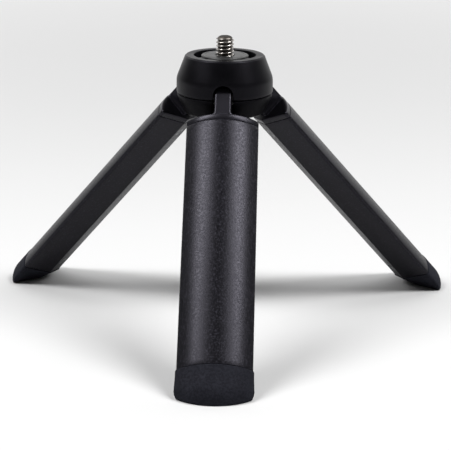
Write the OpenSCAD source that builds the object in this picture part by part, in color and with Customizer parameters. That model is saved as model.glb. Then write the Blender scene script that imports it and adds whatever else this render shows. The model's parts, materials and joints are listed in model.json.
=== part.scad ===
// Folding table tripod with a 1/4 inch camera stud.
// Millimetres, +Z up. The origin is the centre of the seat face, where the stud stands up.
// The legs are drawn folded along -Z, with +X pointing outwards, and are then swung open.

/* [Head] */
// Largest diameter of the head
head_d = 34; // [32:0.5:38]
// Outer diameter of the flat rim at the top
rim_d = 28; // [26:0.5:30]
// Diameter of the recess inside the rim
recess_d = 22; // [20:0.5:24]
// Depth of the recess
recess_depth = 3.5; // [2.5:0.1:4]
// Diameter of the seat disc that carries the stud
seat_d = 16.6; // [14:0.1:17]
// Depth below the rim at which the head reaches its largest diameter
band_top = 8; // [6:0.1:9]
// Depth of the joint between the two head shells
parting_depth = 13.4; // [12.9:0.1:13.9]
// Overall height of the head
head_h = 20.6; // [19:0.1:22]
// Wall thickness of the head shells
head_wall = 2.2; // [1.6:0.1:2.6]
// Width of the three ribs across the recess
rib_w = 3.2; // [2:0.1:5]

/* [Camera stud] */
// Major diameter of the 1/4-20 stud
stud_d = 6.35; // [6.3:0.01:6.4]
// Height of the stud above the seat face
stud_h = 6.7; // [5.5:0.1:8]
// Width across the flats of its captive hexagonal head
stud_hex_af = 9.5; // [9:0.1:10]

/* [Legs] */
// Outer radius of a leg, measured from the fold axis
leg_r = 16.8; // [16:0.1:17]
// Half of the gap left between two folded legs
side_gap = 2.74; // [2:0.01:3.2]
// Distance from the fold axis to the flat on the inner edge of a leg
inner_flat = 4.9; // [4.4:0.1:5.4]
// Radius of the long outer corners
corner_r = 1; // [0.6:0.1:1.4]
// Wall thickness of the extruded leg
leg_wall = 1.5; // [1.2:0.1:2]
// Distance from the hinge axis down to the upper end of the extrusion
shell_start = 12; // [11.8:0.1:14]
// Length of the extrusion
shell_len = 90.6; // [70:0.2:120]
// Angle between an open leg and the vertical
open_angle = 43; // [35:0.5:45]

/* [Hinges] */
// Distance of each hinge axis from the centre of the head
hinge_r = 11.8; // [11.4:0.1:12]
// Depth of the hinge axes below the seat face
hinge_depth = 12.6; // [12.5:0.1:12.9]
// Diameter of a hinge pin
pin_d = 2; // [1.8:0.1:2.2]
// Width of the tongue on a leg
tongue_w = 5.7; // [5:0.1:6]
// Width of the slot in the head that takes the tongue
slot_w = 6.9; // [6.7:0.1:7.2]
// Thickness of the flange that closes the upper end of a leg
flange_t = 2.4; // [2:0.1:3]

/* [Feet] */
// Distance from the foot joint to the lowest corner of the foot, along the leg
foot_len = 13.5; // [12.5:0.1:16]
// Distance of that corner from the fold axis
foot_corner_r = 14; // [12:0.1:15]
// Length of the flat that stands on the table
foot_flat = 9.6; // [8:0.1:11]
// Amount that a foot cap stands proud of the extrusion
foot_proud = 0.2; // [0:0.05:0.3]

/* [Hidden] */
$fn = 96;
eps = 0.01;
LEGS = ["front", "right", "left"];
LEG_AZ = [-90, 30, 150];
BETWEEN_AZ = [-30, 90, 210];

head_r = head_d / 2;
rim_r = rim_d / 2;
parting_z = -parting_depth;
overshoot = 0.5;
// The edge chamfers of both shells make the shadow line around the joint.
parting_chamfer = 0.35;
rim_chamfer = 0.4;

// The lower shell tapers in to a flat underside of this radius, with a rounded edge.
lower_flat_r = 12.9;
lower_edge_r = 1.6;

// Plate under the recess, and the boss that holds the stud's hexagonal head.
plate_t = 1.7;
plate_z = -recess_depth - plate_t;
boss_r = 6.6;
stud_hex_t = 3;
boss_z = plate_z - stud_hex_t;
stud_hole_r = stud_d / 2 + 0.1;
stud_neck_r = stud_d / 2 - 0.35;
stud_chamfer = 0.8;
stud_slot_w = 1;
stud_slot_depth = 1.2;
post_r = 5.4;
press_gap = 0.05;

// Cheeks beside each slot carry the hinge pins.
cheek_t = 2.4;
cheek_in = 7;
cheek_trim = 0.3;
pin_len = slot_w + 2 * cheek_t - 1;
pin_r = pin_d / 2;
pin_bore_r = pin_r + 0.05;
saddle_gap = 0.03;
hinge_z = -hinge_depth;
slot_in = 6.7;
slot_arch_z = hinge_z + 2.5;
washer_t = 0.4;
washer_r = 2.8;

// The screws that clamp the shells together.
case_screw_r = 1.1;
case_screw_head_r = 2;
case_screw_head_t = 1.5;
case_screw_at = 10;
case_boss_r = 2.6;
case_screw_tip_z = -8.2;

// Tongue of a knuckle, drawn about the hinge axis.
tongue_out = leg_r - 0.3;
tongue_end_r = tongue_out - hinge_r;
tongue_fillet = 1.2;
plug_len = 11;
plug_gap = 0.1;

shell_z0 = hinge_z - shell_start;
flange_z = shell_z0 + flange_t;
shell_z1 = shell_z0 - shell_len;
foot_z = shell_z1 - foot_len;
foot_bevel_z = shell_z1 - 0.4;

// Small countersunk screws in the inner flat of each leg.
leg_screw_r = 1;
leg_screw_head_r = 1.7;
leg_screw_head_t = 0.9;
leg_screw_len = 5;
knuckle_screw_z = shell_z0 - 6;
foot_screw_z = shell_z1 + 6;

function at(r, a) = [r * cos(a), r * sin(a)];
function arc(c, r, a0, a1, n) = [for (i = [0:n]) c + at(r, a0 + (a1 - a0) * i / n)];

// Swings a folded leg out about its hinge axis and turns it to its place.
module leg_place(i) {
    rotate([0, 0, LEG_AZ[i]])
        translate([hinge_r, 0, hinge_z])
            rotate([0, -open_angle, 0])
                translate([-hinge_r, 0, -hinge_z])
                    children();
}

// Cross-section of a leg: a sector of 120 degrees with a flat at its inner edge.
// r is the outer radius, gap the distance of the sides from the sector's own planes.
module leg_section(r, gap, flat_at, fillet) {
    apex = gap / sin(60);
    half = (flat_at - apex) * tan(60);
    far = 2 * r;
    turn = 60 - asin((gap + fillet) / (r - fillet));
    centre = at(r - fillet, turn);
    difference() {
        intersection() {
            circle(r);
            polygon([
                [flat_at, -half],
                [apex + far * cos(60), -far * sin(60)],
                [apex + far * cos(60), far * sin(60)],
                [flat_at, half]
            ]);
        }
        for (side = [0, 1])
            mirror([0, side])
                difference() {
                    polygon([
                        centre,
                        centre + at(3 * fillet, turn),
                        centre + at(3 * fillet, turn) + at(3 * fillet, 150),
                        centre + at(3 * fillet, 150)
                    ]);
                    translate(centre) circle(fillet);
                }
    }
}

module leg_prism(z0, z1, grow) {
    translate([0, 0, z1])
        linear_extrude(z0 - z1)
            leg_section(leg_r + grow, side_gap - grow, inner_flat - grow, corner_r);
}

// Cylinder of radius r along Y, centred on the point x, z.
module cross_cylinder(x, z, r, len) {
    translate([x, 0, z])
        rotate([90, 0, 0])
            cylinder(r = r, h = len, center = true);
}

// Outline of the upper shell, drawn past the parting plane by the overshoot.
module head_upper_outline() {
    polygon([
        [0, parting_z - overshoot],
        [head_r - parting_chamfer, parting_z - overshoot],
        [head_r - parting_chamfer, parting_z],
        [head_r, parting_z + parting_chamfer],
        [head_r, -band_top - 0.5],
        [head_r - 0.12, -band_top + 0.3],
        [rim_r, -rim_chamfer],
        [rim_r - rim_chamfer, 0],
        [0, 0]
    ]);
}

module head_lower_outline() {
    knee = [lower_flat_r, -head_h + lower_edge_r];
    polygon(concat(
        [[0, parting_z], [head_r - parting_chamfer, parting_z]],
        [[head_r - 0.2, parting_z - parting_chamfer]],
        arc(knee, lower_edge_r, -20, -90, 6),
        [[0, -head_h]]
    ));
}

// The arch-topped slot that a tongue swings in, as one cutter reaching down past the head.
module slot_cutter() {
    half = slot_w / 2;
    translate([slot_in, 0, 0])
        rotate([90, 0, 90])
            linear_extrude(head_r + 2 - slot_in)
                polygon(concat(
                    [[-half, -head_h - 1]],
                    arc([0, slot_arch_z], half, 180, 0, 20),
                    [[half, -head_h - 1]]
                ));
}

// Blocks beside a slot, a little wide on its side: the slot cutter trims them flush.
module cheek_pair(z0, z1) {
    width = cheek_t + cheek_trim;
    for (side = [-1, 1])
        translate([cheek_in, side * (slot_w / 2 + cheek_t - width / 2) - width / 2, z0])
            cube([head_r - head_wall - cheek_in + 0.2, width, z1 - z0]);
}

// U-shaped seats for a hinge pin, open towards the parting plane.
module pin_saddles() {
    r = pin_r + saddle_gap;
    translate([0, (pin_len + 0.2) / 2, 0])
        rotate([90, 0, 0])
            linear_extrude(pin_len + 0.2)
                polygon(concat(
                    [[hinge_r - r, parting_z - 1]],
                    arc([hinge_r, hinge_z], r, 180, 0, 16),
                    [[hinge_r + r, parting_z - 1]]
                ));
}

module head_upper_shell() {
    cavity_r = head_r - head_wall;
    color([0.05, 0.05, 0.055])
        difference() {
            union() {
                difference() {
                    rotate_extrude() head_upper_outline();
                    translate([0, 0, -recess_depth]) cylinder(d = recess_d, h = recess_depth + 1);
                    translate([0, 0, parting_z - 2 * overshoot])
                        cylinder(r1 = cavity_r, r2 = cavity_r - 2,
                                 h = plate_z - parting_z + 2 * overshoot);
                }
                for (a = BETWEEN_AZ)
                    rotate([0, 0, a])
                        translate([seat_d / 2 + press_gap, -rib_w / 2, -recess_depth - eps])
                            cube([recess_d / 2 - seat_d / 2 + 0.3, rib_w, recess_depth - 0.6]);
                translate([0, 0, boss_z]) cylinder(r = boss_r, h = stud_hex_t + eps);
                for (a = BETWEEN_AZ)
                    rotate([0, 0, a])
                        translate([case_screw_at, 0, parting_z - overshoot])
                            cylinder(r = case_boss_r, h = plate_z - parting_z + overshoot + eps);
                for (a = LEG_AZ)
                    rotate([0, 0, a]) cheek_pair(parting_z - overshoot, plate_z + eps);
            }
            translate([0, 0, parting_z - 5]) cylinder(r = head_r + 1, h = 5);
            translate([0, 0, boss_z - 1]) cylinder(r = stud_hole_r, h = 20);
            translate([0, 0, boss_z - eps])
                cylinder(d = (stud_hex_af + 0.1) / cos(30), h = stud_hex_t + eps, $fn = 6);
            for (a = LEG_AZ)
                rotate([0, 0, a]) {
                    slot_cutter();
                    pin_saddles();
                }
            for (a = BETWEEN_AZ)
                rotate([0, 0, a])
                    translate([case_screw_at, 0, parting_z - 1])
                        cylinder(r = case_screw_r + press_gap, h = case_screw_tip_z - parting_z + 1.3);
        }
}

module head_lower_shell() {
    floor_z = -head_h + head_wall;
    color([0.11, 0.11, 0.12])
        difference() {
            union() {
                difference() {
                    rotate_extrude() head_lower_outline();
                    translate([0, 0, floor_z])
                        cylinder(r1 = head_r - head_wall - 2, r2 = head_r - head_wall,
                                 h = parting_z - floor_z + eps);
                }
                translate([0, 0, floor_z - eps])
                    cylinder(r = post_r, h = boss_z - floor_z + eps - press_gap);
                for (a = BETWEEN_AZ)
                    rotate([0, 0, a])
                        translate([case_screw_at, 0, floor_z - eps])
                            cylinder(r = case_boss_r, h = parting_z - floor_z + eps);
                for (a = LEG_AZ)
                    rotate([0, 0, a])
                        intersection() {
                            cheek_pair(floor_z - eps, parting_z);
                            translate([0, 0, floor_z - 1]) cylinder(r = head_r - 3, h = 20);
                        }
            }
            for (a = LEG_AZ)
                rotate([0, 0, a]) {
                    slot_cutter();
                    cross_cylinder(hinge_r, hinge_z, pin_r + saddle_gap, pin_len + 0.2);
                }
            for (a = BETWEEN_AZ)
                rotate([0, 0, a])
                    translate([case_screw_at, 0, -head_h - 1]) {
                        cylinder(r = case_screw_r + press_gap, h = 20);
                        cylinder(r = case_screw_head_r + 0.15, h = 1 + case_screw_head_t + 0.1);
                    }
        }
}

module seat_disc() {
    color([0.09, 0.09, 0.095])
        difference() {
            rotate_extrude()
                polygon([
                    [0, -recess_depth],
                    [seat_d / 2, -recess_depth],
                    [seat_d / 2, -0.3],
                    [seat_d / 2 - 0.3, 0],
                    [0, 0]
                ]);
            translate([0, 0, -recess_depth - 1]) cylinder(r = stud_hole_r, h = recess_depth + 2);
        }
}

module camera_stud() {
    color([0.78, 0.76, 0.72])
        difference() {
            union() {
                translate([0, 0, boss_z])
                    cylinder(d = stud_hex_af / cos(30), h = stud_hex_t, $fn = 6);
                translate([0, 0, plate_z - eps]) cylinder(r = stud_neck_r, h = -plate_z + 2 * eps);
                cylinder(d = stud_d, h = stud_h - stud_chamfer);
                translate([0, 0, stud_h - stud_chamfer - eps])
                    cylinder(d1 = stud_d, d2 = stud_d - 2 * stud_chamfer, h = stud_chamfer + eps);
            }
            translate([-stud_d, -stud_slot_w / 2, stud_h - stud_slot_depth])
                cube([2 * stud_d, stud_slot_w, stud_slot_depth + 1]);
        }
}

module case_screws() {
    color([0.6, 0.6, 0.6])
        for (a = BETWEEN_AZ)
            rotate([0, 0, a])
                translate([case_screw_at, 0, -head_h + 0.1])
                    difference() {
                        union() {
                            cylinder(r = case_screw_head_r, h = case_screw_head_t);
                            cylinder(r = case_screw_r, h = case_screw_tip_z + head_h - 0.1);
                        }
                        cross_drive(case_screw_head_r);
                    }
}

// Recess for a cross-point driver in the lower face of a screw head.
module cross_drive(head) {
    for (a = [0, 90])
        rotate([0, 0, a])
            translate([-head * 0.6, -head * 0.13, -1])
                cube([head * 1.2, head * 0.26, 1.7]);
}

module hinge_pin(i) {
    color([0.7, 0.7, 0.72])
        rotate([0, 0, LEG_AZ[i]]) cross_cylinder(hinge_r, hinge_z, pin_r, pin_len);
}

module friction_washers(i) {
    color([0.55, 0.5, 0.4])
        rotate([0, 0, LEG_AZ[i]])
            for (side = [-1, 1])
                translate([0, side * (tongue_w + slot_w) / 4, 0])
                    difference() {
                        cross_cylinder(hinge_r, hinge_z, washer_r, washer_t);
                        cross_cylinder(hinge_r, hinge_z, pin_bore_r, washer_t + 1);
                    }
}

// Outline of the tongue seen along the hinge axis: round about the hinge at its upper end.
module tongue_side() {
    polygon(concat(
        [[tongue_out, flange_z - 0.5]],
        arc([hinge_r, hinge_z], tongue_end_r, 0, 180, 16),
        [[hinge_r - tongue_end_r, flange_z - 0.5]]
    ));
}

// Outline of the tongue seen from outside: straight sides, a round top, filleted roots.
module tongue_face() {
    half = tongue_w / 2;
    root = half + tongue_fillet;
    root_z = flange_z + tongue_fillet;
    polygon(concat(
        [[root, flange_z - 0.5]],
        arc([root, root_z], tongue_fillet, 270, 180, 5),
        arc([0, hinge_z], half, 0, 180, 16),
        arc([-root, root_z], tongue_fillet, 0, -90, 5),
        [[-root, flange_z - 0.5]]
    ));
}

module tongue() {
    intersection() {
        translate([0, 10, 0])
            rotate([90, 0, 0])
                linear_extrude(20) tongue_side();
        rotate([90, 0, 90])
            linear_extrude(leg_r) tongue_face();
    }
}

module knuckle(i) {
    color([0.16, 0.16, 0.18])
        leg_place(i)
            difference() {
                union() {
                    tongue();
                    leg_prism(flange_z, shell_z0, 0);
                    leg_prism(shell_z0 + eps, shell_z0 - plug_len, -leg_wall - plug_gap);
                }
                cross_cylinder(hinge_r, hinge_z, pin_bore_r, 20);
                leg_screw_hole(knuckle_screw_z);
            }
}

module leg_screw_hole(z) {
    translate([inner_flat - 1, 0, z])
        rotate([0, 90, 0]) {
            cylinder(r = leg_screw_r + press_gap, h = leg_screw_len + 1.4);
            translate([0, 0, 1 - eps])
                cylinder(r1 = leg_screw_head_r + press_gap, r2 = leg_screw_r + press_gap,
                         h = leg_screw_head_t);
        }
}

module leg_screw(i, z) {
    color([0.6, 0.6, 0.6])
        leg_place(i)
            translate([inner_flat + 0.05, 0, z])
                rotate([0, 90, 0])
                    difference() {
                        union() {
                            cylinder(r1 = leg_screw_head_r - 0.05, r2 = leg_screw_r,
                                     h = leg_screw_head_t);
                            cylinder(r = leg_screw_r, h = leg_screw_len);
                        }
                        translate([0, 0, -0.2]) cross_drive(leg_screw_head_r);
                    }
}

module leg_shell(i) {
    color([0.24, 0.24, 0.26])
        leg_place(i)
            difference() {
                leg_prism(shell_z0, shell_z1, 0);
                leg_prism(shell_z0 + 1, shell_z1 - 1, -leg_wall);
                leg_screw_hole(knuckle_screw_z);
                leg_screw_hole(foot_screw_z);
            }
}

// Side view of the foot: the bevel on the inner edge and the flat that stands on the table.
module foot_side() {
    corner = [foot_corner_r, foot_z];
    heel = corner - foot_flat * [cos(open_angle), -sin(open_angle)];
    polygon([
        [0, shell_z1 + 1],
        [inner_flat - foot_proud - 0.2, foot_bevel_z],
        heel,
        corner,
        corner + 20 * [sin(open_angle), cos(open_angle)],
        [30, shell_z1 + 1]
    ]);
}

module foot_cap(i) {
    toe_r = leg_r + foot_proud;
    color([0.13, 0.13, 0.16])
        leg_place(i)
            difference() {
                union() {
                    intersection() {
                        leg_prism(shell_z1, foot_z - 1, foot_proud);
                        translate([0, 50, 0])
                            rotate([90, 0, 0])
                                linear_extrude(100) foot_side();
                        // Round toe, upright once the leg is open.
                        translate([foot_corner_r, 0, foot_z])
                            rotate([0, open_angle, 0])
                                translate([-toe_r, 0, -2])
                                    cylinder(r = toe_r, h = 40);
                    }
                    leg_prism(shell_z1 + plug_len, shell_z1 - eps, -leg_wall - plug_gap);
                }
                leg_screw_hole(foot_screw_z);
            }
}

head_upper_shell();
head_lower_shell();
seat_disc();
camera_stud();
case_screws();
for (i = [0:2]) {
    hinge_pin(i);
    friction_washers(i);
    knuckle(i);
    leg_shell(i);
    foot_cap(i);
    leg_screw(i, knuckle_screw_z);
    leg_screw(i, foot_screw_z);
}
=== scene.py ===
"""Looks of the folding table tripod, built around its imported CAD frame.

Shapes are worked out in millimetres: the hub in the frame's own axes, a leg as it lies folded
along -Z with +X pointing outwards. Each piece is then scaled to metres and put in its place.
"""

import json
import math

import bmesh
import bpy
import numpy as np
from mathutils import Matrix, Vector


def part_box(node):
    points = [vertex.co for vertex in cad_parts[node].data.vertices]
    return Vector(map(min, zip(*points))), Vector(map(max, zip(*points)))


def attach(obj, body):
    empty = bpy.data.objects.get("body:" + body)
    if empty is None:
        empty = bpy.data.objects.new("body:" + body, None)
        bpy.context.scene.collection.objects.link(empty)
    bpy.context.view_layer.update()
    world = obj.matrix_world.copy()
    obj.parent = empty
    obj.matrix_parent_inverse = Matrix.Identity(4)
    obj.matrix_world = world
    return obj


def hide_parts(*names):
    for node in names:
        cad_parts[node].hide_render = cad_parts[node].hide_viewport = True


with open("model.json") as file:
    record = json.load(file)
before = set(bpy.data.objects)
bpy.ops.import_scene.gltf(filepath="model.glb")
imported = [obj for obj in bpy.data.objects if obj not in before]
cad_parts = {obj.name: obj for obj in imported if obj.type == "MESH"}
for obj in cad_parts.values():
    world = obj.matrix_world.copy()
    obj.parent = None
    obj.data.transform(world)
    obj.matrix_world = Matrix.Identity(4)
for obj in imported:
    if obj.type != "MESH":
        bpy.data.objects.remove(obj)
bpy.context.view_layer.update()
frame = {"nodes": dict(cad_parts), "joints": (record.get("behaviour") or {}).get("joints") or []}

MM = 0.001
JOINTS = {j["child"]: j for j in frame["joints"]}
LEGS = ("front", "right", "left")


def high(node):
    """Highest corner of a CAD node, in millimetres."""
    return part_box(node)[1] / MM


def low(node):
    """Lowest corner of a CAD node, in millimetres."""
    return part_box(node)[0] / MM


# Hub, from the frame
HUB_R = high("head_upper_shell").x
PARTING_Z = low("head_upper_shell").z
HUB_BOTTOM = low("head_lower_shell").z
SEAT_R = high("seat_disc").x
SEAT_Z = low("seat_disc").z
STUD_TOP = high("camera_stud").z
GROUND_Z = low("front_foot_cap").z

# Hub details
RIM_R = 13.6
RIM_EDGE = (0.52, 0.45)
RECESS_R = 11.0
RIB_W = 3.2
RIB_TOP = -0.6
RIB_CROWN = 0.12
BAND_TOP = -8.0
KNEE_R = 6.0
SEAM_CHAMFER = 0.44
SEAM_SKIRT = 1.0
LOWER_FLAT_R = 12.9
LOWER_EDGE_R = 1.6
LOWER_STEP_IN = 0.3

# Slots of the hub. The edge of an arch hangs lower than the slot behind it
SLOT_W = 6.9
SLOT_IN = 6.7
SLOT_EDGE = 0.2
SLOT_OUTER_HALF = SLOT_W / 2 + SLOT_EDGE
SLOT_LIP = 1.4
SLOT_LIP_R = 15.3

# Case screws: their circle, and the sink and bore of each
SCREW_AT = 10.0
SCREW_HOLE_R = 2.15
SCREW_BORE_R = 1.15
SCREW_SINK = 1.6

# Seat disc and camera stud
SEAT_HOLE_R = 3.22
SEAT_SINK = 0.45
SEAT_GROOVE = 0.12
PITCH = 25.4 / 20
MAJOR_R = 6.35 / 2
MINOR_R = MAJOR_R - 0.68
STUD_START = -1.2
STUD_DOME = 1.0
DRIVER_SLOT = (1.0, 1.15)

# Hinge, the same on every leg
HINGE = JOINTS["front_leg"]["pos_m"]
HINGE_R = math.hypot(HINGE[0], HINGE[1]) / MM
HINGE_Z = HINGE[2] / MM
OPEN = math.radians(JOINTS["front_leg"]["range_deg"][1])
ARCH_OVER_HINGE = 2.5
SLOT_ARCH_Z = HINGE_Z + ARCH_OVER_HINGE - SLOT_LIP
HINGE_AXES = [JOINTS[leg + "_leg"]["axis"] for leg in LEGS]
LEG_AZIMUTHS = [math.degrees(math.atan2(-axis[0], axis[1])) for axis in HINGE_AXES]
BETWEEN_AZIMUTHS = [azimuth + 60 for azimuth in LEG_AZIMUTHS]

# Leg, in its folded place
LEG_R = 16.8
SIDE_GAP = 2.74
INNER_FLAT = 4.9
CORNER_R = 1.0
INNER_CORNER_R = 0.6
LEG_WALL = 1.5
SHELL_TOP = HINGE_Z - 12.0
SHELL_END = SHELL_TOP - 90.6
FLANGE_TOP = SHELL_TOP + 2.4
TONGUE_W = 5.7
TONGUE_HALF_T = LEG_R - 0.3 - HINGE_R
TONGUE_ROOT = 1.2
TONGUE_EDGE = 0.55
TONGUE_CROWN = 2.3
CROWN_SLOPE = 1.2
PIN_BORE_R = 1.05
FOOT_END = SHELL_END - 13.5
FOOT_FLAT = 9.6
FOOT_PROUD = 0.2
FOOT_TOP = SHELL_END - 0.06
LEG_SCREW_SINK = (1.75, 1.0)
LEG_SCREW_FROM_END = 6.0
JOINT_EASE = 0.22
FLANGE_EASE = 0.6

# (x, z) of the sole's outer corner on a folded leg, and which ways are up and out once it is open
SOLE_CORNER = np.array([14.0, FOOT_END])
UPRIGHT = np.array([math.sin(OPEN), math.cos(OPEN)])
OUTWARD = np.array([math.cos(OPEN), -math.sin(OPEN)])


# ---------------------------------------------------------------- points and meshes

def at(radius, degrees):
    """The (x, y) point at a radius and an angle."""
    a = math.radians(degrees)
    return np.array([radius * math.cos(a), radius * math.sin(a)])


def arc(centre, radius, start, end, steps):
    """Points on an arc, both ends included."""
    turns = [start + (end - start) * i / steps for i in range(steps + 1)]
    return [np.array(centre) + at(radius, turn) for turn in turns]


class Mesh:
    """Collects vertices in millimetres and faces, and turns them into one Blender object."""

    def __init__(self):
        self.points = []
        self.faces = []

    def row(self, points):
        """Adds a row of vertices and returns their numbers."""
        first = len(self.points)
        self.points.extend(tuple(float(c) for c in p) for p in points)
        return list(range(first, len(self.points)))

    def strip(self, a, b, closed=False):
        """Quads between two rows of the same length."""
        count = len(a)
        for i in range(count if closed else count - 1):
            j = (i + 1) % count
            self.faces.append((a[i], a[j], b[j], b[i]))

    def rows(self, rows, closed=False):
        """Adds rows of vertices with strips between them, and returns their numbers."""
        numbers = [self.row(r) for r in rows]
        for a, b in zip(numbers, numbers[1:]):
            self.strip(a, b, closed)
        return numbers

    def face(self, numbers):
        """One face through the vertices of these numbers."""
        self.faces.append(tuple(numbers))

    def build(self, name, place=None, weld=1e-4, sharp=38.0):
        """Makes the object, with its vertices welded and its degenerate faces left out."""
        bm = bmesh.new()
        verts = [bm.verts.new(p) for p in self.points]
        for f in self.faces:
            corners = [verts[i] for i in dict.fromkeys(f)]
            if len(corners) > 2:
                bm.faces.new(corners)
        bmesh.ops.remove_doubles(bm, verts=bm.verts, dist=weld)
        bmesh.ops.dissolve_degenerate(bm, edges=bm.edges, dist=weld)
        loose = [v for v in bm.verts if not v.link_faces]
        bmesh.ops.delete(bm, geom=loose, context="VERTS")
        bmesh.ops.recalc_face_normals(bm, faces=bm.faces)
        mesh = bpy.data.meshes.new(name)
        bm.to_mesh(mesh)
        bm.free()
        obj = bpy.data.objects.new(name, mesh)
        bpy.context.scene.collection.objects.link(obj)
        mesh.transform(Matrix.Scale(MM, 4) @ (place or Matrix.Identity(4)))
        smooth(obj, sharp)
        return obj


def smooth(obj, sharp):
    """Smooth shading, with edges above the angle kept crisp."""
    obj.data.shade_smooth()
    obj.data.set_sharp_from_angle(angle=math.radians(sharp))


def turn_z(degrees):
    """A turn about the frame's vertical axis."""
    return Matrix.Rotation(math.radians(degrees), 4, "Z")


def leg_azimuth(leg):
    """The way a leg points, in degrees from +X."""
    return LEG_AZIMUTHS[LEGS.index(leg)]


def leg_place(leg):
    """From a folded leg's own axes to the open leg in the frame, both in millimetres."""
    pivot = Vector((HINGE_R, 0, HINGE_Z))
    to_pivot, from_pivot = Matrix.Translation(pivot), Matrix.Translation(-pivot)
    return turn_z(leg_azimuth(leg)) @ to_pivot @ Matrix.Rotation(-OPEN, 4, "Y") @ from_pivot


def combine(obj, other, operation):
    """Cuts other out of obj, or joins it to obj, and removes it."""
    bpy.context.view_layer.update()
    modifier = obj.modifiers.new("combine", "BOOLEAN")
    modifier.operation = operation
    modifier.solver = "EXACT"
    modifier.object = other
    graph = bpy.context.evaluated_depsgraph_get()
    mesh = bpy.data.meshes.new_from_object(obj.evaluated_get(graph))
    old = obj.data
    obj.modifiers.clear()
    obj.data = mesh
    bpy.data.meshes.remove(old)
    bpy.data.objects.remove(other)


def revolve(profile, steps):
    """A closed lathe of (radius, z) points. Points at radius 0 become poles."""
    mesh = Mesh()
    angles = [360 * i / steps for i in range(steps)]
    mesh.rows([[(*at(r, a), z) for a in angles] for r, z in profile], closed=True)
    return mesh


def rounded(corner, before, after, radius, steps=4):
    """Points of an arc that rounds the corner of a path."""
    corner, before, after = (np.array(p, float) for p in (corner, before, after))
    a = (before - corner) / np.linalg.norm(before - corner)
    b = (after - corner) / np.linalg.norm(after - corner)
    half = math.acos(max(-1.0, min(1.0, float(a @ b)))) / 2
    reach = radius / math.tan(half)
    start, end = corner + a * reach, corner + b * reach
    centre = corner + (a + b) / np.linalg.norm(a + b) * radius / math.sin(half)
    sweep = math.pi - 2 * half
    out = []
    for i in range(steps + 1):
        t = i / steps
        u = math.sin((1 - t) * sweep) / math.sin(sweep)
        w = math.sin(t * sweep) / math.sin(sweep)
        out.append(centre + u * (start - centre) + w * (end - centre))
    return out


def soften(path, radii, steps=4):
    """A path with each inner corner rounded by its own radius; 0 leaves it sharp."""
    out = [np.array(path[0], float)]
    for i in range(1, len(path) - 1):
        if radii[i] > 0:
            out.extend(rounded(path[i], path[i - 1], path[i + 1], radii[i], steps))
        else:
            out.append(np.array(path[i], float))
    out.append(np.array(path[-1], float))
    return out


# ---------------------------------------------------------------- hub

def slot_edge(mesh, row, side, azimuth, wide, steps=4):
    """One row across a slot's rounded edge, from the skin to the slot's flat wall."""
    r, z, inward, turn = row
    c, s = math.cos(math.radians(turn)), math.sin(math.radians(turn))
    x = math.sqrt(r * r - wide * wide)
    points = []
    for k in range(steps + 1):
        bend = math.radians(90 * k / steps)
        deep, aside = SLOT_EDGE * (1 - math.cos(bend)), SLOT_EDGE * math.sin(bend)
        y = side * (wide - aside * c)
        points.append((x + deep * inward[0], y, z + deep * inward[1] - aside * s))
    turned = turn_z(azimuth)
    return mesh.row([turned @ Vector(p) for p in points])


def slotted_skin(mesh, rows, columns=36):
    """Outer skin of a hub shell between its slots, and the rounded edges of the slots.

    rows are (radius, z, inward, turn). inward is the (radius, z) direction into the solid. turn is
    the angle, in degrees, of the slot's outline at that row: 0 along its straight sides, up to 90
    at the crown of its arch, and None above the slot. Returns the numbers of the skin's rows and
    of the rows across both edges, sector by sector.
    """
    sectors = []
    for here, there in zip(LEG_AZIMUTHS, LEG_AZIMUTHS[1:] + LEG_AZIMUTHS[:1]):
        span = (there - here) % 360
        skins, walls = [], ([], [])
        for row in rows:
            r, z, _, turn = row
            wide = 0.0 if turn is None else SLOT_OUTER_HALF * math.cos(math.radians(turn))
            opening = math.degrees(math.asin(min(1.0, wide / r)))
            shown = span - 2 * opening
            angles = [here + opening + shown * i / columns for i in range(columns + 1)]
            skins.append(mesh.row([(*at(r, a), z) for a in angles]))
            if turn is not None:
                walls[0].append(slot_edge(mesh, row, 1, here, wide))
                walls[1].append(slot_edge(mesh, row, -1, there, wide))
        for store in (skins, *walls):
            for a, b in zip(store, store[1:]):
                mesh.strip(a, b)
        sectors.append((skins, walls))
    return sectors


def slot_sides(i, walls):
    """The sign, wall rows and azimuth of the slots on the two sides of a sector."""
    return (1, walls[0], LEG_AZIMUTHS[i]), (-1, walls[1], LEG_AZIMUTHS[(i + 1) % 3])


def arch_rows(steps=12):
    """(z, turn) of the rows from the springing of a slot's arch to its crown."""
    turns = [90 * i / steps for i in range(steps + 1)]
    return [(SLOT_ARCH_Z + SLOT_OUTER_HALF * math.sin(math.radians(t)), t) for t in turns]


def upper_slot_walls(mesh, sectors):
    """Walls and inner end of each slot. Behind its lip the arch rises, to clear the tongue.

    Returns, for both sides of each sector, the points behind the lip and at the inner end.
    """
    deep = []
    for i, (_, walls) in enumerate(sectors):
        ends = []
        for _, rows, azimuth in slot_sides(i, walls):
            lip, inner = [], []
            for edge in rows:
                p = turn_z(-azimuth) @ Vector(mesh.points[edge[-1]])
                lift = SLOT_LIP if p.z > SLOT_ARCH_Z - 0.01 else 0.0
                for r, store in ((SLOT_LIP_R, lip), (SLOT_IN, inner)):
                    store.extend(mesh.row([turn_z(azimuth) @ Vector((r, p.y, p.z + lift))]))
            mesh.strip([edge[-1] for edge in rows], lip)
            mesh.strip(lip, inner)
            ends.append((lip, inner))
        deep.append(ends)
    for i in range(3):
        mesh.strip(deep[i][0][1], deep[i - 1][1][1])
    return deep


def upper_side():
    """The upper shell's outline from the parting plane up to the rim."""
    edge_in, edge_down = RIM_EDGE
    return soften(
        [(HUB_R - SEAM_CHAMFER - 0.06, PARTING_Z), (HUB_R - 0.06, PARTING_Z + SEAM_CHAMFER),
         (HUB_R, PARTING_Z + SEAM_SKIRT), (HUB_R, BAND_TOP),
         (RIM_R + edge_in, -edge_down), (RIM_R, 0.0)],
        [0, 0.25, 0.8, KNEE_R, 0.5, 0], 6)


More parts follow.
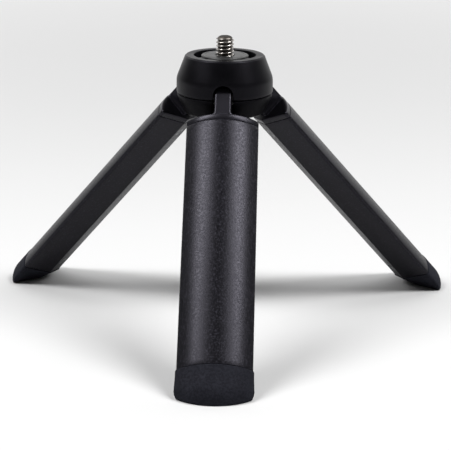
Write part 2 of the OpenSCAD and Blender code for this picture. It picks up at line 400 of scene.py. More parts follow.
def rim_and_recess(mesh, columns=36):
    """The flat rim, the recess inside it and the recess's floor."""
    path = soften(
        [(RIM_R, 0.0), (RECESS_R, 0.0), (RECESS_R, SEAT_Z), (0.0, SEAT_Z)],
        [0, 0.22, 0.3, 0], 4)
    angles = [start + 120 * k / columns for start in LEG_AZIMUTHS for k in range(columns)]
    mesh.rows([[(*at(r, a), z) for a in angles] for r, z in path], closed=True)


def upper_shell():
    """Tapered cap with three arch-topped slots, a flat rim and a recess. It is solid inside."""
    side = upper_side()
    heights = [(p[1], 0.0) for p in side if p[1] < SLOT_ARCH_Z - 0.05] + arch_rows()
    heights += [(p[1], None) for p in side if p[1] > heights[-1][0] + 0.05]
    side_z, side_r = [p[1] for p in side], [p[0] for p in side]
    rows = [(float(np.interp(z, side_z, side_r)), z, (-1, 0), turn) for z, turn in heights]
    mesh = Mesh()
    sectors = slotted_skin(mesh, rows)
    deep = upper_slot_walls(mesh, sectors)
    rim_and_recess(mesh)
    underside = []
    for (skins, walls), ((near_lip, near_end), (far_lip, far_end)) in zip(sectors, deep):
        underside.extend([near_end[0], near_lip[0], *reversed(walls[0][0]), *skins[0][1:-1]])
        underside.extend([*walls[1][0], far_lip[0], far_end[0]])
    mesh.face(underside)
    return mesh.build("upper_shell", weld=2e-3)


def recess_ribs():
    """Three short crowned ribs across the recess."""
    inner, outer, floor = SEAT_R + 0.04, RECESS_R + 0.3, SEAT_Z - 0.1
    half, crest = RIB_W / 2, (0, RIB_TOP + RIB_CROWN)
    path = [(-half, floor), (-half, RIB_TOP), crest, (half, RIB_TOP), (half, floor)]
    section = soften(path, [0, 0.35, 3.0, 0.35, 0], 5)
    ribs = Mesh()
    for azimuth in BETWEEN_AZIMUTHS:
        turned = turn_z(azimuth)
        ends = [[turned @ Vector((x, y, z)) for y, z in section] for x in (inner, outer)]
        near, far = ribs.rows(ends)
        ribs.face(near)
        ribs.face(far)
        ribs.face((near[0], near[-1], far[-1], far[0]))
    return ribs.build("recess_ribs")


def lower_path():
    """The lower shell's outline from the parting plane down and in to the slots' inner ends."""
    top_r = HUB_R - LOWER_STEP_IN
    step = (top_r + 0.06, PARTING_Z - LOWER_STEP_IN)
    top = soften([(HUB_R - 0.7, PARTING_Z), step, (top_r, PARTING_Z - 1.0)], [0, 0.2, 0], 4)
    knee = arc((LOWER_FLAT_R, HUB_BOTTOM + LOWER_EDGE_R), LOWER_EDGE_R, -20, -90, 8)
    wall = [top[-1] + (knee[0] - top[-1]) * t for t in (0.25, 0.5, 0.75)]
    slot_end = math.hypot(SLOT_IN, SLOT_OUTER_HALF)
    bottom = [np.array((r, HUB_BOTTOM)) for r in (LOWER_FLAT_R - 0.5, slot_end + 1.5, slot_end)]
    return np.array(top + wall + knee + bottom)


def lower_slot_walls(mesh, sectors):
    """Flat walls and inner end of each slot. Returns the walls' upper inner corners."""
    corners = []
    for i, (_, walls) in enumerate(sectors):
        ends = []
        for side, rows, azimuth in slot_sides(i, walls):
            corner = turn_z(azimuth) @ Vector((SLOT_IN, side * SLOT_W / 2, PARTING_Z))
            ends.extend(mesh.row([corner]))
            mesh.face([edge[-1] for edge in rows] + [ends[-1]])
        corners.append(ends)
    for i in range(3):
        left, right = sectors[i][1][0][-1], sectors[i - 1][1][1][-1]
        mesh.face([*left, corners[i][0], corners[i - 1][1], *reversed(right)])
    return corners


def sink_case_screws(obj):
    """Cuts the stepped holes for the case screws."""
    r, bore, depth = SCREW_HOLE_R, SCREW_BORE_R, SCREW_SINK
    path = [(0, -1), (r + 1.3, -1), (r, 0.3), (r, depth), (bore, depth), (bore, 4), (0, 4)]
    for azimuth in BETWEEN_AZIMUTHS:
        where = turn_z(azimuth) @ Matrix.Translation((SCREW_AT, 0, HUB_BOTTOM))
        combine(obj, revolve(path, 48).build("hole", where), "DIFFERENCE")
    smooth(obj, 38)


def lower_shell():
    """Shallow bowl under the parting line, with open slots and three sunk screw holes."""
    path = lower_path()
    step = np.gradient(path, axis=0)
    step /= np.linalg.norm(step, axis=1)[:, None]
    inward = np.stack([step[:, 1], -step[:, 0]], axis=1)
    # straight in at the parting plane, and straight up from the flat bottom
    inward[0] = (-1, 0)
    inward[-4:] = (0, 1)
    mesh = Mesh()
    sectors = slotted_skin(mesh, [(*p, n, 0.0) for p, n in zip(path, inward)])
    corners = lower_slot_walls(mesh, sectors)
    upper, under = [], []
    for (skins, walls), (near, far) in zip(sectors, corners):
        upper.extend([near, *reversed(walls[0][0]), *skins[0][1:-1], *walls[1][0], far])
        under.extend(skins[-1])
    mesh.face(upper)
    mesh.face(under)
    obj = mesh.build("lower_shell", weld=2e-3)
    sink_case_screws(obj)
    return obj


def seat_disc():
    """Turned disc with an eased edge, a fine groove and a countersunk hole for the stud."""
    hole, deep = SEAT_HOLE_R, SEAT_GROOVE
    path = [(hole, SEAT_Z), (SEAT_R, SEAT_Z), (SEAT_R, -0.3), (SEAT_R - 0.3, 0.0)]
    path += [(SEAT_R - 1.0, 0.0), (SEAT_R - 1.1, -deep), (SEAT_R - 1.25, -deep)]
    path += [(SEAT_R - 1.35, 0.0), (hole + SEAT_SINK, 0.0), (hole, -SEAT_SINK), (hole, SEAT_Z)]
    points = soften(path, [0, 0.1, 0.12, 0.12, 0.05, 0, 0, 0.05, 0.15, 0.1, 0], 3)
    return revolve(points, 128).build("seat_disc_turned")


def thread_radius(phase):
    """Radius of a 60 degree thread with rounded crests and roots, at a phase from 0 to 1."""
    wave = abs(((phase + 0.5) % 1.0) - 0.5) * 2
    crest, root = 0.16, 0.86
    t = min(1.0, max(0.0, (wave - crest) / (root - crest)))
    return MAJOR_R + (MINOR_R - MAJOR_R) * (t * t * (3 - 2 * t) * 0.35 + t * 0.65)


def stud_ring(z, steps=96):
    """Points round the stud at a height: its thread, kept inside the domed end."""
    over = (z - (STUD_TOP - STUD_DOME)) / STUD_DOME
    ring = []
    for i in range(steps):
        turn = 360 * i / steps
        radius = thread_radius(z / PITCH - turn / 360)
        if over > 0:
            dome = MINOR_R * math.sqrt(max(0.0, 1 - 0.62 * over * over)) + 0.25 * (1 - over)
            radius = min(radius, dome)
        ring.append((*at(radius, turn), z))
    return ring


def driver_slot():
    """The cutter for the screwdriver slot in the stud's end."""
    width, depth = DRIVER_SLOT
    half = width / 2
    box = [(-5, -half), (5, -half), (5, half), (-5, half)]
    slot = Mesh()
    for numbers in slot.rows([ring(box, STUD_TOP - depth), ring(box, STUD_TOP + 1)], closed=True):
        slot.face(numbers)
    return slot.build("driver_slot")


def camera_stud():
    """Helical 1/4-20 thread with a rounded, slotted end."""
    height = STUD_TOP - STUD_START
    # one ring every 0.07 mm
    levels = int(height / 0.07)
    mesh = Mesh()
    rings = [stud_ring(STUD_START + height * k / levels) for k in range(levels + 1)]
    numbers = mesh.rows(rings, closed=True)
    mesh.face(numbers[0])
    mesh.face(numbers[-1])
    obj = mesh.build("camera_stud_thread", sharp=55)
    combine(obj, driver_slot(), "DIFFERENCE")
    smooth(obj, 50)
    return obj


# ---------------------------------------------------------------- legs

def leg_outline(grow=0.0, crown=56, corner=8):
    """Section of a leg: a rounded 120 degree sector with a flat at its inner edge."""
    radius, gap, flat = LEG_R + grow, SIDE_GAP - grow, INNER_FLAT - grow
    outer, inner = max(CORNER_R + grow, 0.15), INNER_CORNER_R + max(grow, -0.4)
    turn = 60 - math.degrees(math.asin((gap + outer) / (radius - outer)))
    centre = at(radius - outer, turn)
    normal = at(1, 150)
    apex = np.array([gap / math.sin(math.radians(60)), 0.0])
    inner_x = flat + inner
    inner_y = (apex @ normal - inner - normal[0] * inner_x) / normal[1]
    upper = arc(centre, outer, turn, 150, corner) + arc((inner_x, inner_y), inner, 150, 180, 4)
    lower = [p * np.array([1, -1]) for p in reversed(upper)]
    return lower + arc((0, 0), radius, -turn, turn, crown)[1:-1] + upper


def ring(outline, z):
    """An outline laid level at a height."""
    return [(p[0], p[1], z) for p in outline]


def eased(ease, steps=4):
    """(grow, rise) of a quarter turn, from a pulled-in edge to full size a little lower down."""
    bends = [math.radians(90 * k / steps) for k in range(steps + 1)]
    return [(-ease * (1 - math.sin(bend)), -ease * (1 - math.cos(bend))) for bend in bends]


def sink_leg_screw(obj, place, z):
    """Cuts the countersunk hole for a screw in the leg's inner flat."""
    head, hole = LEG_SCREW_SINK
    hole += 0.1
    path = [(0, -0.6), (head + 0.55, -0.6), (head, 0.0), (hole, 0.95), (hole, 3.0), (0, 3.0)]
    to_leg = Matrix.Translation((INNER_FLAT, 0, z)) @ Matrix.Rotation(math.pi / 2, 4, "Y")
    combine(obj, revolve(path, 40).build("sink", place @ to_leg), "DIFFERENCE")


def leg_shell(leg):
    """Extruded tube with eased ends and countersinks for its two screws."""
    top, end = SHELL_TOP - 0.05, SHELL_END + 0.05
    start = [(grow, top + rise) for grow, rise in eased(JOINT_EASE)]
    shares = np.linspace(0.02, 0.98, 13)
    middle = [(0.0, SHELL_TOP + (SHELL_END - SHELL_TOP) * t) for t in shares]
    finish = [(grow, SHELL_TOP + SHELL_END - z) for grow, z in reversed(start)]
    path = start + middle + finish + [(-LEG_WALL, end), (-LEG_WALL, top)]
    mesh = Mesh()
    numbers = mesh.rows([ring(leg_outline(grow), z) for grow, z in path], closed=True)
    mesh.strip(numbers[-1], numbers[0], closed=True)
    place = leg_place(leg)
    obj = mesh.build(leg + "_leg_extrusion", place)
    for z in (SHELL_TOP - LEG_SCREW_FROM_END, SHELL_END + LEG_SCREW_FROM_END):
        sink_leg_screw(obj, place, z)
    smooth(obj, 38)
    return obj


def round_max(a, b, radius):
    """Intersection of two distance fields, with the edge between them rounded."""
    u, v = np.maximum(a + radius, 0), np.maximum(b + radius, 0)
    return np.minimum(np.maximum(a, b), -radius) + np.sqrt(u * u + v * v)


def cast(field, origin, directions, reach=30.0, steps=34):
    """Distance from each origin, along its direction, to where the convex field turns positive."""
    near = np.zeros(len(directions))
    far = np.full(len(directions), reach)
    for _ in range(steps):
        middle = (near + far) / 2
        outside = field(origin + directions * middle[:, None]) > 0
        far = np.where(outside, middle, far)
        near = np.where(outside, near, middle)
    return origin + directions * near[:, None]


def foot_field(p):
    """The foot cap below its joint, convex: the leg's section, a bevel, the sole and the toe."""
    x, y, z = p[:, 0], np.abs(p[:, 1]), p[:, 2]
    radius = LEG_R + FOOT_PROUD
    apex = (SIDE_GAP - FOOT_PROUD) / math.sin(math.radians(60))
    side = (x - apex) * math.cos(math.radians(150)) + y * math.sin(math.radians(150))
    outer = np.hypot(x, y) - radius
    # the toe's cylinder stands upright on an open leg
    from_corner = np.stack([x, z], axis=1) - SOLE_CORNER
    toe = np.hypot(from_corner @ OUTWARD + radius, y) - radius
    sole = -(from_corner @ UPRIGHT)
    start = np.array([INNER_FLAT - FOOT_PROUD, SHELL_END - 0.4])
    slope = SOLE_CORNER - FOOT_FLAT * OUTWARD - start
    slope = slope / np.linalg.norm(slope)
    bevel = (x - start[0]) * slope[1] - (z - start[1]) * slope[0]
    body = round_max(outer, toe, 0.3 + 1.5 * np.clip(1 - (y / 14) ** 2, 0, 1))
    body = round_max(body, side, 0.45 + 0.75 * np.clip((z - FOOT_END - 4) / 7, 0, 1))
    body = round_max(body, bevel, 0.8)
    return round_max(body, sole, 0.55)


def foot_section(grow=0.0):
    """The foot's outline at its joint, in finer steps than the leg's."""
    return leg_outline(FOOT_PROUD + grow, crown=64, corner=10)


def foot_rows(levels=30):
    """Rows down the foot, which fan from square with the leg to level with the sole."""
    top = np.array([10.8, FOOT_TOP - JOINT_EASE - 0.15])
    end = SOLE_CORNER - FOOT_FLAT * 0.5 * OUTWARD + UPRIGHT * 0.01
    flat = np.array(foot_section()) - np.array([top[0], 0.0])
    flat /= np.linalg.norm(flat, axis=1)[:, None]
    rows = []
    for k in range(levels + 1):
        share = 1 - (1 - k / levels) ** 1.5
        x, z = top + (end - top) * share
        c, s = math.cos(OPEN * share), math.sin(OPEN * share)
        directions = np.stack([flat[:, 0] * c, flat[:, 1], -flat[:, 0] * s], axis=1)
        rows.append(cast(foot_field, np.array([x, 0.0, z]), directions))
    return rows


def foot_cap(leg):
    """Moulded foot with an eased joint, an upright round toe and a flat sole."""
    joint = [ring(foot_section(grow), FOOT_TOP + rise) for grow, rise in eased(JOINT_EASE)]
    mesh = Mesh()
    numbers = mesh.rows(joint + foot_rows(), closed=True)
    mesh.face(numbers[0])
    mesh.face(numbers[-1])
    return mesh.build(leg + "_foot_moulding", leg_place(leg), sharp=60)


def tongue_field(p):
    """The knuckle's tongue, round about the hinge and domed as seen from outside."""
    x, y, z = p[:, 0] - HINGE_R, np.abs(p[:, 1]), p[:, 2]
    over = np.maximum(z - HINGE_Z, 0)
    rise = np.clip(FLANGE_TOP + TONGUE_ROOT - z, 0, TONGUE_ROOT)
    flare = TONGUE_ROOT - np.sqrt(np.maximum(TONGUE_ROOT ** 2 - rise ** 2, 0))
    sides = np.where(over > 0, np.hypot(y, over), y) - TONGUE_W / 2 - flare
    faces = np.where(over > 0, np.hypot(x, over), np.abs(x)) - TONGUE_HALF_T
    # seen from outside, the flat face ends in a half circle, with a bevel behind it
    above = np.maximum(z - HINGE_Z + TONGUE_CROWN, 0)
    behind = CROWN_SLOPE * np.maximum(TONGUE_HALF_T - x, 0)
    crown = (np.hypot(y, above) - TONGUE_W / 2 - behind) / math.hypot(1, CROWN_SLOPE)
    return round_max(round_max(sides, faces, TONGUE_EDGE), crown, 0.35)


def tongue_directions():
    """Level directions round the tongue, close together at its rounded corners."""
    corners = [(0, -1), (1, -1), (1, 1), (-1, 1), (-1, -1), (0, -1)]
    box = soften(corners, [0, 0.3, 0.3, 0.3, 0.3, 0], 8)[:-1]
    around = []
    for a, b in zip(box, box[1:] + box[:1]):
        shares = np.linspace(0, 0.92, 12) if np.linalg.norm(b - a) > 0.5 else (0,)
        around.extend((a + (b - a) * t) * (TONGUE_HALF_T, TONGUE_W / 2) for t in shares)
    around = np.array([d / np.linalg.norm(d) for d in around])
    return np.stack([around[:, 0], around[:, 1], np.zeros(len(around))], axis=1)


def tongue_rows(dome=14):
    """Rows up the tongue's root and shank, and over its round end."""
    flat = tongue_directions()
    shares = (0.02, 0.12, 0.25, 0.45, 0.7, 1.0)
    heights = [FLANGE_TOP - 0.4] + [FLANGE_TOP + TONGUE_ROOT * t for t in shares]
    heights.extend(np.linspace(FLANGE_TOP + TONGUE_ROOT + 0.8, HINGE_Z, 20))
    rows = [cast(tongue_field, np.array([HINGE_R, 0.0, z]), flat) for z in heights]
    pivot, up = np.array([HINGE_R, 0.0, HINGE_Z]), np.array([0, 0, 1])
    for k in range(1, dome):
        lift = math.radians(90 * k / dome)
        rows.append(cast(tongue_field, pivot, flat * math.cos(lift) + up * math.sin(lift)))
    return rows


def tongue(leg):
    """The knuckle's tongue, with its bore for the hinge pin."""
    mesh = Mesh()
    numbers = mesh.rows(tongue_rows(), closed=True)
    mesh.face(numbers[0])
    mesh.face(numbers[-1])
    obj = mesh.build("tongue", leg_place(leg), sharp=50)
    bore = revolve([(0, -10), (PIN_BORE_R, -10), (PIN_BORE_R, 10), (0, 10)], 48)
    across = Matrix.Translation((HINGE_R, 0, HINGE_Z)) @ Matrix.Rotation(math.pi / 2, 4, "X")
    combine(obj, bore.build("bore", leg_place(leg) @ across), "DIFFERENCE")
    return obj


def knuckle(leg):
    """Flange that closes the leg's upper end, with the tongue standing on it."""
    groove = [(-0.3, 0.04), (-0.3, 0.1), (-0.06, 0.2), (0.0, 0.34)]
    path = [(grow, SHELL_TOP + z) for grow, z in groove]
    path.append((0.0, FLANGE_TOP - FLANGE_EASE - 0.3))
    path.extend((rise, FLANGE_TOP + grow) for grow, rise in eased(FLANGE_EASE, 6))
    mesh = Mesh()
    numbers = mesh.rows([ring(leg_outline(grow), z) for grow, z in path], closed=True)
    mesh.face(numbers[0])
    mesh.face(numbers[-1])
    obj = mesh.build(leg + "_knuckle_casting", leg_place(leg))
    combine(obj, tongue(leg), "UNION")
    smooth(obj, 45)
    return obj


# ---------------------------------------------------------------- materials

class Nodes:
    """A small helper that adds shader nodes and links them."""

    def __init__(self, name):
        self.material = bpy.data.materials.new(name)
        self.material.use_nodes = True
        self.tree = self.material.node_tree
        self.shader = self.tree.nodes["Principled BSDF"]

    def add(self, kind, settings=None, **inputs):
        """Adds a node. Inputs go by their socket's name, or by i and its number."""
        node = self.tree.nodes.new("ShaderNode" + kind)
        for key, value in (settings or {}).items():
            setattr(node, key, value)
        for key, value in inputs.items():
            socket = int(key[1:]) if key[1:].isdigit() else key.replace("_", " ")
            self.put(node.inputs[socket], value)
        return node

    def put(self, socket, value):
        """Sets a value on a socket, or links another node's socket to it."""
        if isinstance(value, bpy.types.NodeSocket):
            self.tree.links.new(value, socket)
        else:
            socket.default_value = value

    def math(self, operation, a, b=0.0):
        """The result of one sum on two numbers."""
        return self.add("Math", {"operation": operation}, i0=a, i1=b).outputs[0]

    def noise(self, vector, scale, detail=3.0, roughness=0.55):
        """Noise from 0 to 1, with scale features to the metre."""
        settings = {"Vector": vector, "Scale": scale, "Detail": detail, "Roughness": roughness}
        return self.add("TexNoise", None, **settings).outputs["Fac"]

    def length(self, vector):
        """The length of a vector."""
        return self.add("VectorMath", {"operation": "LENGTH"}, i0=vector).outputs["Value"]

    def range(self, value, low, high, to_low, to_high):
        """Maps a value from one range to another, with smooth ends."""
        node = self.add("MapRange", {"interpolation_type": "SMOOTHSTEP"}, Value=value,
                        From_Min=low, From_Max=high, To_Min=to_low, To_Max=to_high)
        return node.outputs["Result"]

    def mix(self, share, a, b):
        """A colour between a and b, by the share of b."""
        node = self.add("Mix", {"data_type": "RGBA"})
        self.put(node.inputs["Factor"], share)
        self.put(node.inputs[6], a)
        self.put(node.inputs[7], b)
        return node.outputs[2]

    def edge_wear_and_highlight(self, radius):
        """About 1 on the rounded edges of a piece and 0 on its faces: the mask for wear and for a
        painted highlight along the edges.
        """
        bevel = self.add("Bevel", {"samples": 6}, Radius=radius)
        flat = self.add("NewGeometry").outputs["Normal"]
        dot = self.add("VectorMath", {"operation": "DOT_PRODUCT"}, i0=bevel.outputs[0], i1=flat)
        return self.range(dot.outputs["Value"], 0.86, 0.995, 1.0, 0.0)

    def finish(self, color, rough, bump=None, strength=0.2, distance=0.00002, **fixed):
        """Links up the shader, with a bump in metres where one is given. Returns the material."""
        self.put(self.shader.inputs["Base Color"], color)
        self.put(self.shader.inputs["Roughness"], rough)
        for key, value in fixed.items():
            self.shader.inputs[key.replace("_", " ")].default_value = value
        if bump is not None:
            node = self.add("Bump", None, Height=bump, Strength=strength, Distance=distance)
            self.tree.links.new(node.outputs[0], self.shader.inputs["Normal"])
        return self.material


def rgb(value, tint=(1.0, 1.0, 1.0)):
    """A grey of a brightness, with a tint."""
    return (value * tint[0], value * tint[1], value * tint[2], 1.0)


def object_coordinates(nodes, turn=(0.0, 0.0, 0.0), scale=(1.0, 1.0, 1.0)):
    """The piece's own coordinates in metres, turned and scaled."""
    mapped = nodes.add("Mapping", None, Vector=nodes.add("TexCoord").outputs["Object"])
    mapped.inputs["Rotation"].default_value = turn
    mapped.inputs["Scale"].default_value = scale
    return mapped.outputs[0]


# Tints of the blacks, and of the gloss on them
COOL = (1.02, 0.98, 1.3)
NEUTRAL = (1.0, 1.0, 1.02)
BLUISH = (0.97, 1.0, 1.3)
COOL_GLOSS = (0.87, 0.84, 1.0, 1.0)


def moulded(name, value, tint, rough, shine, grain=0.00035, strength=0.22, speckle=0.2):
    """Injection-moulded plastic: fine spark-eroded grain, faint mottling, polished edges lightened
    with wear and a painted edge highlight.
    """
    n = Nodes(name)
    where = object_coordinates(n)
    mottle = n.noise(where, 140.0)
    fine = n.noise(where, 1 / grain, detail=2.0)
    specks = n.noise(where, 1250.0, detail=2.0, roughness=0.7)
    lit_and_worn_edges = n.edge_wear_and_highlight(0.0004)
    darker, lighter = rgb(value * 0.86, tint), rgb(value * 1.14, tint)
    base = n.mix(n.range(mottle, 0.3, 0.7, 0.0, 1.0), darker, lighter)
    base = n.mix(n.range(specks, 0.38, 0.62, speckle, 0.0), base, rgb(value * 0.3, tint))
    # edges lightened: wear, and a painted highlight along the rounded edges
    base = n.mix(n.math("MULTIPLY", lit_and_worn_edges, 0.35), base, rgb(value * 2.6, tint))
    satin = n.range(mottle, 0.25, 0.75, rough - 0.05, rough + 0.05)
    roughness = n.math("ADD", satin, n.math("MULTIPLY", lit_and_worn_edges, -0.1))
    return n.finish(base, roughness, fine, strength, grain * 0.09,
                    Specular_IOR_Level=shine, Specular_Tint=COOL_GLOSS)


def turned_black():
    """Satin black disc with fine concentric tool marks."""
    n = Nodes("turned_black")
    radius = n.length(object_coordinates(n, scale=(1.0, 1.0, 0.0)))
    ring_at = n.add("CombineXYZ", None, X=radius).outputs[0]
    rings = n.noise(ring_at, 5200.0, detail=4.0, roughness=0.7)
    cloud = n.noise(object_coordinates(n), 220.0)
    lit_and_worn_edges = n.edge_wear_and_highlight(0.0003)
    base = n.mix(rings, rgb(0.010, NEUTRAL), rgb(0.020, NEUTRAL))
    # edges lightened: wear, and a painted highlight along the rounded edges
    base = n.mix(n.math("MULTIPLY", lit_and_worn_edges, 0.5), base, rgb(0.06, NEUTRAL))
    roughness = n.math("ADD", n.range(rings, 0.2, 0.8, 0.3, 0.42), n.math("MULTIPLY", cloud, 0.06))
    return n.finish(base, roughness, rings, 0.3, 0.000012, Specular_IOR_Level=0.3)


def plated_steel():
    """Bright nickel plate on the thread, duller in the roots, and darker and warmer there as
    painted shade.
    """
    n = Nodes("plated_steel")
    where = object_coordinates(n)
    radius = n.length(object_coordinates(n, scale=(1.0, 1.0, 0.0)))
    depth = n.range(radius, MINOR_R * MM, MAJOR_R * MM, 0.0, 1.0)
    scuff = n.noise(where, 900.0, detail=4.0)
    # painted shade: the thread turns dark and warm toward its roots
    base = n.mix(depth, (0.07, 0.062, 0.055, 1.0), (0.48, 0.455, 0.43, 1.0))
    base = n.mix(n.range(scuff, 0.55, 0.75, 0.0, 0.35), base, (0.3, 0.27, 0.24, 1.0))
    roughness = n.math("ADD", n.range(depth, 0.0, 1.0, 0.4, 0.14), n.math("MULTIPLY", scuff, 0.12))
    return n.finish(base, roughness, scuff, 0.15, 0.00001, Metallic=1.0)


def zinc():
    """Dull zinc plate for the screws and pins."""
    n = Nodes("zinc_plate")
    where = object_coordinates(n)
    scuff = n.noise(where, 1300.0, detail=4.0)
    lit_and_worn_edges = n.edge_wear_and_highlight(0.0002)
    base = n.mix(scuff, (0.10, 0.10, 0.105, 1.0), (0.17, 0.17, 0.18, 1.0))
    # edges lightened: wear, and a painted highlight along the rounded edges
    base = n.mix(lit_and_worn_edges, base, (0.34, 0.34, 0.35, 1.0))
    return n.finish(base, n.range(scuff, 0.3, 0.7, 0.36, 0.54), scuff, 0.2, 0.00001, Metallic=1.0)


def acetal():
    """Acetal friction washers, drawn near-black with a faint cloud."""
    n = Nodes("acetal")
    cloud = n.noise(object_coordinates(n), 700.0)
    base = n.mix(cloud, rgb(0.008, NEUTRAL), rgb(0.014, NEUTRAL))
    return n.finish(base, n.range(cloud, 0.3, 0.7, 0.4, 0.55), cloud, 0.15, 0.00001)


def along_leg(nodes, leg, stretch):
    """Coordinates that run along a leg, squeezed that way so that noise draws out into grain."""
    turn = leg_place(leg).to_3x3().inverted().to_euler()
    turned = object_coordinates(nodes, turn=tuple(turn))
    squeezed = nodes.add("VectorMath", {"operation": "MULTIPLY"}, i0=turned, i1=(1.0, 1.0, stretch))
    return squeezed.outputs[0]


def anodised(leg):
    """Blasted and black anodised extrusion: fine grit over die lines, brighter on the edges with
    wear and a painted edge highlight.
    """
    n = Nodes(leg + "_anodised")
    lines = n.noise(along_leg(n, leg, 0.012), 3800.0, detail=3.0)
    broad = n.noise(along_leg(n, leg, 0.05), 260.0, detail=2.0)
    cloud = n.noise(object_coordinates(n), 60.0)
    grit = n.noise(object_coordinates(n), 1500.0, detail=2.0, roughness=0.7)
    lit_and_worn_edges = n.edge_wear_and_highlight(0.0005)
    base = n.mix(n.range(broad, 0.3, 0.7, 0.0, 1.0), rgb(0.0028, COOL), rgb(0.0042, COOL))
    base = n.mix(n.range(lines, 0.62, 0.8, 0.0, 0.3), base, rgb(0.018, COOL))
    base = n.mix(n.range(grit, 0.5, 0.72, 0.0, 0.6), base, rgb(0.026, COOL))
    # edges lightened: wear, and a painted highlight along the rounded edges
    base = n.mix(n.math("MULTIPLY", lit_and_worn_edges, 0.4), base, rgb(0.08, COOL))
    roughness = n.math("ADD", n.range(grit, 0.3, 0.7, 0.27, 0.44), n.math("MULTIPLY", cloud, 0.05))
    relief = n.math("ADD", n.math("MULTIPLY", lines, 0.5), grit)
    return n.finish(base, roughness, relief, 0.35, 0.00004,
                    Specular_IOR_Level=0.2, Specular_Tint=COOL_GLOSS)


def painted(leg):
    """Satin paint on the die-cast knuckle."""
    n = Nodes(leg + "_satin_paint")
    where = object_coordinates(n)
    peel = n.noise(where, 900.0, detail=2.0)
    cloud = n.noise(where, 110.0)
    lit_and_worn_edges = n.edge_wear_and_highlight(0.0005)
    base = n.mix(n.range(cloud, 0.3, 0.7, 0.0, 1.0), rgb(0.0038, COOL), rgb(0.0056, COOL))
    # edges lightened: wear, and a painted highlight along the flange's and tongue's rounded edges
    base = n.mix(n.math("MULTIPLY", lit_and_worn_edges, 0.6), base, rgb(0.09, COOL))
    return n.finish(base, n.range(cloud, 0.25, 0.75, 0.3, 0.38), peel, 0.14, 0.00003,
                    Specular_IOR_Level=0.23, Specular_Tint=COOL_GLOSS)


# ---------------------------------------------------------------- assembly

def fit_out(obj, body, slot, material, *nodes):
    """Gives a new piece its finish and body, and hides the CAD nodes that it stands for."""
    obj.data.materials.clear()
    obj.data.materials.append(material)
    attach(obj, body)
    if nodes:
        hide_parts(*nodes)


def repaint(node, material):
    """Puts a material on a CAD node that stays."""
    obj = frame["nodes"][node]
    obj.data.materials.clear()
    obj.data.materials.append(material)


def build_hub():
    """The hub's two shells, its ribs, the seat disc and the stud."""
    cap = moulded("upper_moulding", 0.0015, COOL, 0.4, shine=0.12)
    bowl = moulded("lower_moulding", 0.0016, COOL, 0.46, shine=0.05)
    fit_out(upper_shell(), "head", "black_shell", cap, "head_upper_shell")
    fit_out(recess_ribs(), "head", "black_shell", cap)
    fit_out(lower_shell(), "head", "lower_shell", bowl, "head_lower_shell")
    fit_out(seat_disc(), "head", "seat", turned_black(), "seat_disc")
    fit_out(camera_stud(), "head", "plated_steel", plated_steel(), "camera_stud")


def build_legs():
    """The shell, knuckle and foot of each leg."""
    cap = moulded("foot_moulding", 0.0185, BLUISH, 0.66, shine=0.03,
                  grain=0.0006, strength=0.4, speckle=0.45)
    for leg in LEGS:
        body = leg + "_leg"
        fit_out(leg_shell(leg), body, "leg_anodised", anodised(leg), leg + "_leg_shell")
        fit_out(knuckle(leg), body, "knuckle_paint", painted(leg), leg + "_knuckle")
        fit_out(foot_cap(leg), body, "foot_moulding", cap, leg + "_foot_cap")


def finish_fasteners():
    """Finishes of the CAD pieces that stay: screws, pins and washers."""
    plate, plastic = zinc(), acetal()
    repaint("case_screws", plate)
    for leg in LEGS:
        for part in ("_hinge_pin", "_knuckle_screw", "_foot_screw"):
            repaint(leg + part, plate)
        repaint(leg + "_friction_washers", plastic)


# ---------------------------------------------------------------- stage

# The camera, with its angles in degrees, its distance and target in millimetres and its lens
CAMERA_AZIMUTH = 1.72
CAMERA_ELEVATION = 15.7
CAMERA_ROLL = 0.46
CAMERA_DISTANCE = 658.9
CAMERA_TARGET = (0.69, 0.0, -62.24)
FOCAL_LENGTH = 145.84


def camera_axes():
    """Right, up and forward of the camera, in the frame's axes."""
    e, roll = math.radians(CAMERA_ELEVATION), math.radians(CAMERA_ROLL)
    around = turn_z(CAMERA_AZIMUTH).to_3x3()
    forward = around @ Vector((0, math.cos(e), -math.sin(e)))
    right = around @ Vector((1, 0, 0))
    up = right.cross(forward)
    return (right * math.cos(roll) + up * math.sin(roll),
            up * math.cos(roll) - right * math.sin(roll), forward)


def place_camera():
    """The camera that matches the photo's view."""
    right, up, forward = camera_axes()
    target = turn_z(CAMERA_AZIMUTH) @ Vector(CAMERA_TARGET)
    camera = bpy.data.cameras.new("camera")
    camera.lens = FOCAL_LENGTH
    camera.sensor_width = 36.0
    camera.clip_start = 0.01
    camera.clip_end = 20.0
    obj = bpy.data.objects.new("camera", camera)
    bpy.context.scene.collection.objects.link(obj)
    turned = Matrix((right, up, -forward)).transposed().to_4x4()
    obj.matrix_world = Matrix.Translation((target - forward * CAMERA_DISTANCE) * MM) @ turned
    bpy.context.scene.camera = obj


def softbox(name, where, size, power, aim=(0.0, 0.0, -0.05)):
    """A rectangular lamp that points at aim. Places and sizes are in metres, the power in watts."""
    light = bpy.data.lights.new(name, "AREA")
    light.shape = "RECTANGLE"
    light.size, light.size_y = size
    light.energy = power
    obj = bpy.data.objects.new(name, light)
    bpy.context.scene.collection.objects.link(obj)
    turned = (Vector(aim) - Vector(where)).to_track_quat("-Z", "Y").to_matrix().to_4x4()
    obj.matrix_world = Matrix.Translation(where) @ turned


def floor_paper():
    """White paper that glows more away from the object, so that it fades into the backdrop."""
    n = Nodes("floor_paper")
    where = object_coordinates(n)
    cloud = n.noise(where, 3.0)
    glow = n.range(n.length(where), 0.15, 1.3, 0.0, 0.7)
    n.put(n.shader.inputs["Emission Strength"], glow)
    return n.finish(n.mix(cloud, rgb(0.57), rgb(0.59)), 0.8, Specular_IOR_Level=0.1,
                    Emission_Color=(1.0, 1.0, 1.0, 1.0))


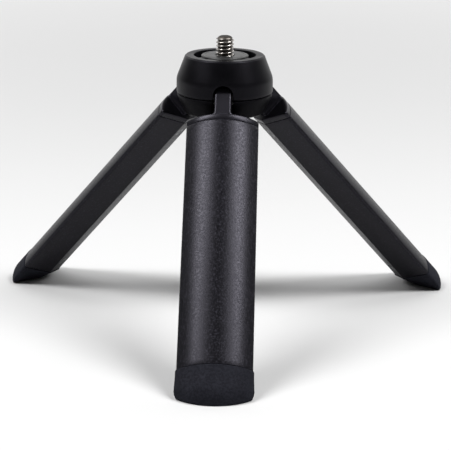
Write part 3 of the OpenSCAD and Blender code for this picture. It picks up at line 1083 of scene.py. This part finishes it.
def build_floor():
    """A wide sheet just under the feet."""
    bm = bmesh.new()
    bmesh.ops.create_grid(bm, x_segments=8, y_segments=8, size=5.0)
    mesh = bpy.data.meshes.new("floor")
    bm.to_mesh(mesh)
    bm.free()
    floor = bpy.data.objects.new("floor", mesh)
    floor.location.z = GROUND_Z * MM - 0.00002
    bpy.context.scene.collection.objects.link(floor)
    mesh.materials.append(floor_paper())


def build_world():
    """A dim studio with a bright backdrop toward +Y. What the camera sees of it is white."""
    world = bpy.data.worlds.new("studio")
    world.use_nodes = True
    nodes, links = world.node_tree.nodes, world.node_tree.links
    where = nodes.new("ShaderNodeTexCoord")
    split = nodes.new("ShaderNodeSeparateXYZ")
    backdrop = nodes.new("ShaderNodeMapRange")
    backdrop.interpolation_type = "SMOOTHSTEP"
    for key, value in (("From Min", 0.5), ("From Max", 0.95), ("To Min", 0.08), ("To Max", 1.15)):
        backdrop.inputs[key].default_value = value
    path = nodes.new("ShaderNodeLightPath")
    seen = nodes.new("ShaderNodeMath")
    seen.operation = "MAXIMUM"
    background = nodes["Background"]
    background.inputs["Color"].default_value = (1.0, 1.0, 1.0, 1.0)
    links.new(where.outputs["Generated"], split.inputs[0])
    links.new(split.outputs["Y"], backdrop.inputs["Value"])
    links.new(backdrop.outputs["Result"], seen.inputs[0])
    links.new(path.outputs["Is Camera Ray"], seen.inputs[1])
    links.new(seen.outputs[0], background.inputs["Strength"])
    bpy.context.scene.world = world


def build_lights():
    """A softbox above each side of the object, and a weak fill behind it on each side."""
    for name, side, power in (("left", -1, 6.6), ("right", 1, 7.4)):
        softbox(name + "_box", (side * 0.46, -0.12, 0.62), (0.24, 0.46), power)
    for name, side in (("left", -1), ("right", 1)):
        softbox(name + "_fill", (side * 0.7, 0.62, 0.42), (0.3, 0.5), 1.1)


def build_stage():
    """Floor, backdrop, lamps and plain colours."""
    build_floor()
    build_world()
    build_lights()
    bpy.context.scene.view_settings.view_transform = "Standard"


place_camera()
build_stage()
build_hub()
build_legs()
finish_fasteners()
